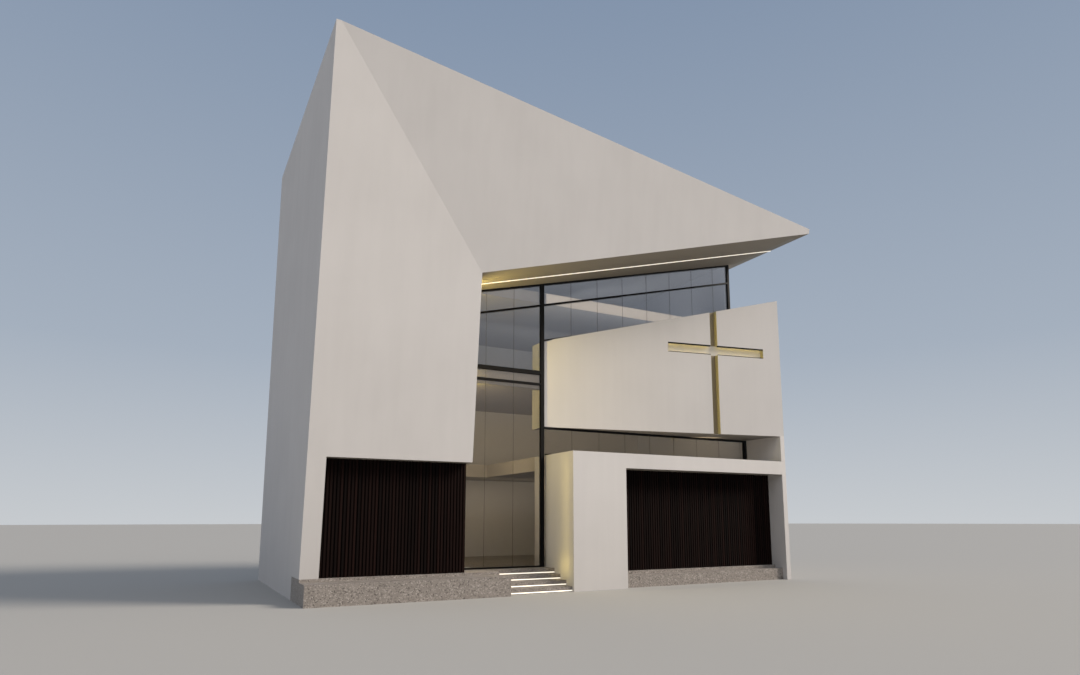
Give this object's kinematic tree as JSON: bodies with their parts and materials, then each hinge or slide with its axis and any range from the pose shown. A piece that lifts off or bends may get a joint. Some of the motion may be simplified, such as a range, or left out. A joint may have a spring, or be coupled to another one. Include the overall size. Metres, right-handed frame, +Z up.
{
  "type": "modern church building",
  "caption": "Modern church building with a leaning front wall, a folded triangular facade, a recessed glass front, a low portal and a slanted panel with a recessed cross.",
  "frame": {"origin": "centre of the whole building's footprint, at ground level", "axes": "+X to the right along the front, +Y from the front to the rear, +Z up; the front looks along -Y"},
  "size_m": [17.46, 11.226, 15.95],
  "materials": {
    "render": "smooth matt painted render",
    "interior_plaster": "matt painted plaster",
    "roofing": "welded roofing membrane",
    "granite": "flamed speckled granite",
    "floor_stone": "honed floor tiles",
    "slats": "dark stained battens",
    "backing_board": "dark stained board",
    "frame": "satin powder coat",
    "glass": "clear, lightly reflective",
    "light_line": "opal light diffuser"
  },
  "bodies": {
    "root": {"left_wall": "render", "front_wall": "render", "left_pier": "render", "upper_facade": "render", "roof_slab": "roofing", "soffit": "render", "ceiling": "interior_plaster", "rear_wall": "render", "boundary_wall": "render", "setback_wall": "render", "return_wall_lower": "render", "return_wall_upper": "render", "floor_slab": "floor_stone", "podium": "granite", "landing": "granite", "step_1": "granite", "step_2": "granite", "step_3": "granite", "step_4": "granite", "gallery_slab": "interior_plaster", "gallery_slab_right": "interior_plaster", "gallery_beam": "interior_plaster", "mezzanine_left": "interior_plaster", "mezzanine_right": "interior_plaster", "upper_slab": "interior_plaster", "upper_beam": "interior_plaster", "left_screen": "slats", "left_screen_wall": "backing_board", "right_screen": "slats", "right_screen_wall": "backing_board", "right_plinth": "granite", "portal_front_wall": "render", "portal_side_wall": "render", "portal_return_wall": "render", "portal_beam": "render", "portal_roof": "render", "cross_panel": "render", "cross_panel_return": "render", "cross_panel_soffit": "render", "cross_panel_cap": "render", "head_rail": "frame", "left_mullion": "frame", "main_mullion": "frame", "right_mullion": "frame", "upper_transom_left": "frame", "upper_transom_right": "frame", "gallery_transom_top": "frame", "gallery_transom_low": "frame", "sill_rail": "frame", "low_window_frame": "frame", "glass_left_low": "glass", "glass_left_gallery": "glass", "glass_left_middle": "glass", "glass_left_top": "glass", "glass_right_middle": "glass", "glass_right_top": "glass", "glass_low_strip": "glass", "glass_side_strip": "glass", "soffit_light": "light_line"}
  },
  "joints": []
}
